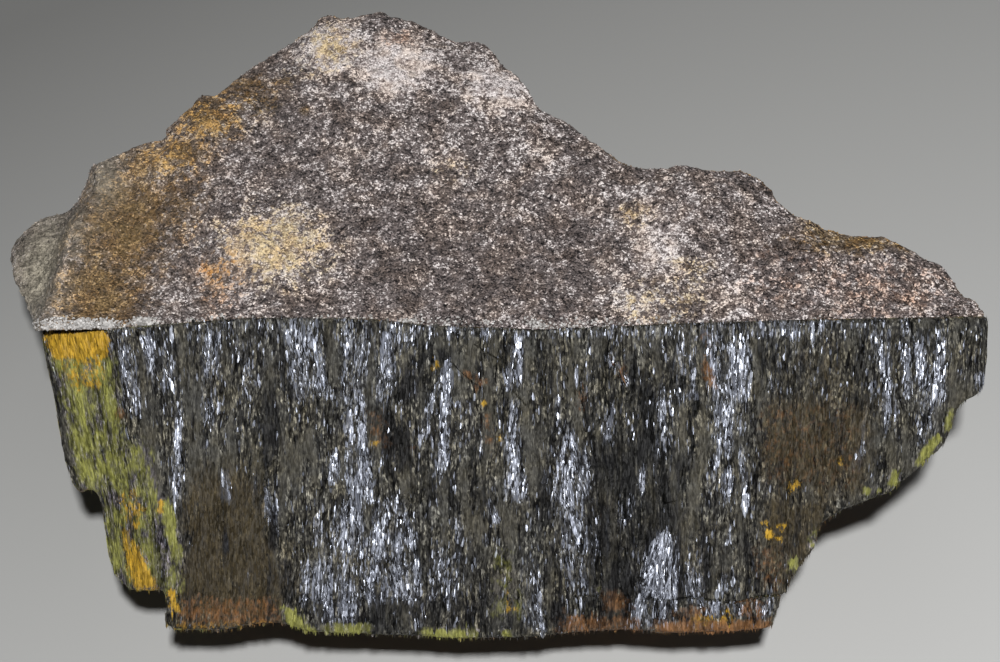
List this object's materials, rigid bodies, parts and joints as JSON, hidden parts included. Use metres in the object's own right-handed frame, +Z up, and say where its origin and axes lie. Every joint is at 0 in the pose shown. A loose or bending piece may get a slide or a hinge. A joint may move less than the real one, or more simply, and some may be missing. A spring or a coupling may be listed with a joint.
{
  "type": "goethite mineral specimen",
  "caption": "Hand specimen of goethite: a band of dark silky needles grown on granular rock, broken on all sides, lying on a flat sawn base.",
  "frame": {"origin": "centre of the bounding box's bottom face, on the sawn base", "axes": "+X along the ridge where rock and goethite meet, with the wide ochre-coated end at -X; +Y from the needle face back over the rock; +Z up from the sawn base"},
  "size_m": [0.1248, 0.0866, 0.0427],
  "materials": {
    "goethite": "silky dark grey needles with bright glints, ochre and rust stains at the edges",
    "rock": "matte purplish grey-brown sugary rock with pale speckles and ochre stains"
  },
  "bodies": {
    "root": {"goethite_needles": "goethite", "matrix_rock": "rock"}
  },
  "joints": []
}
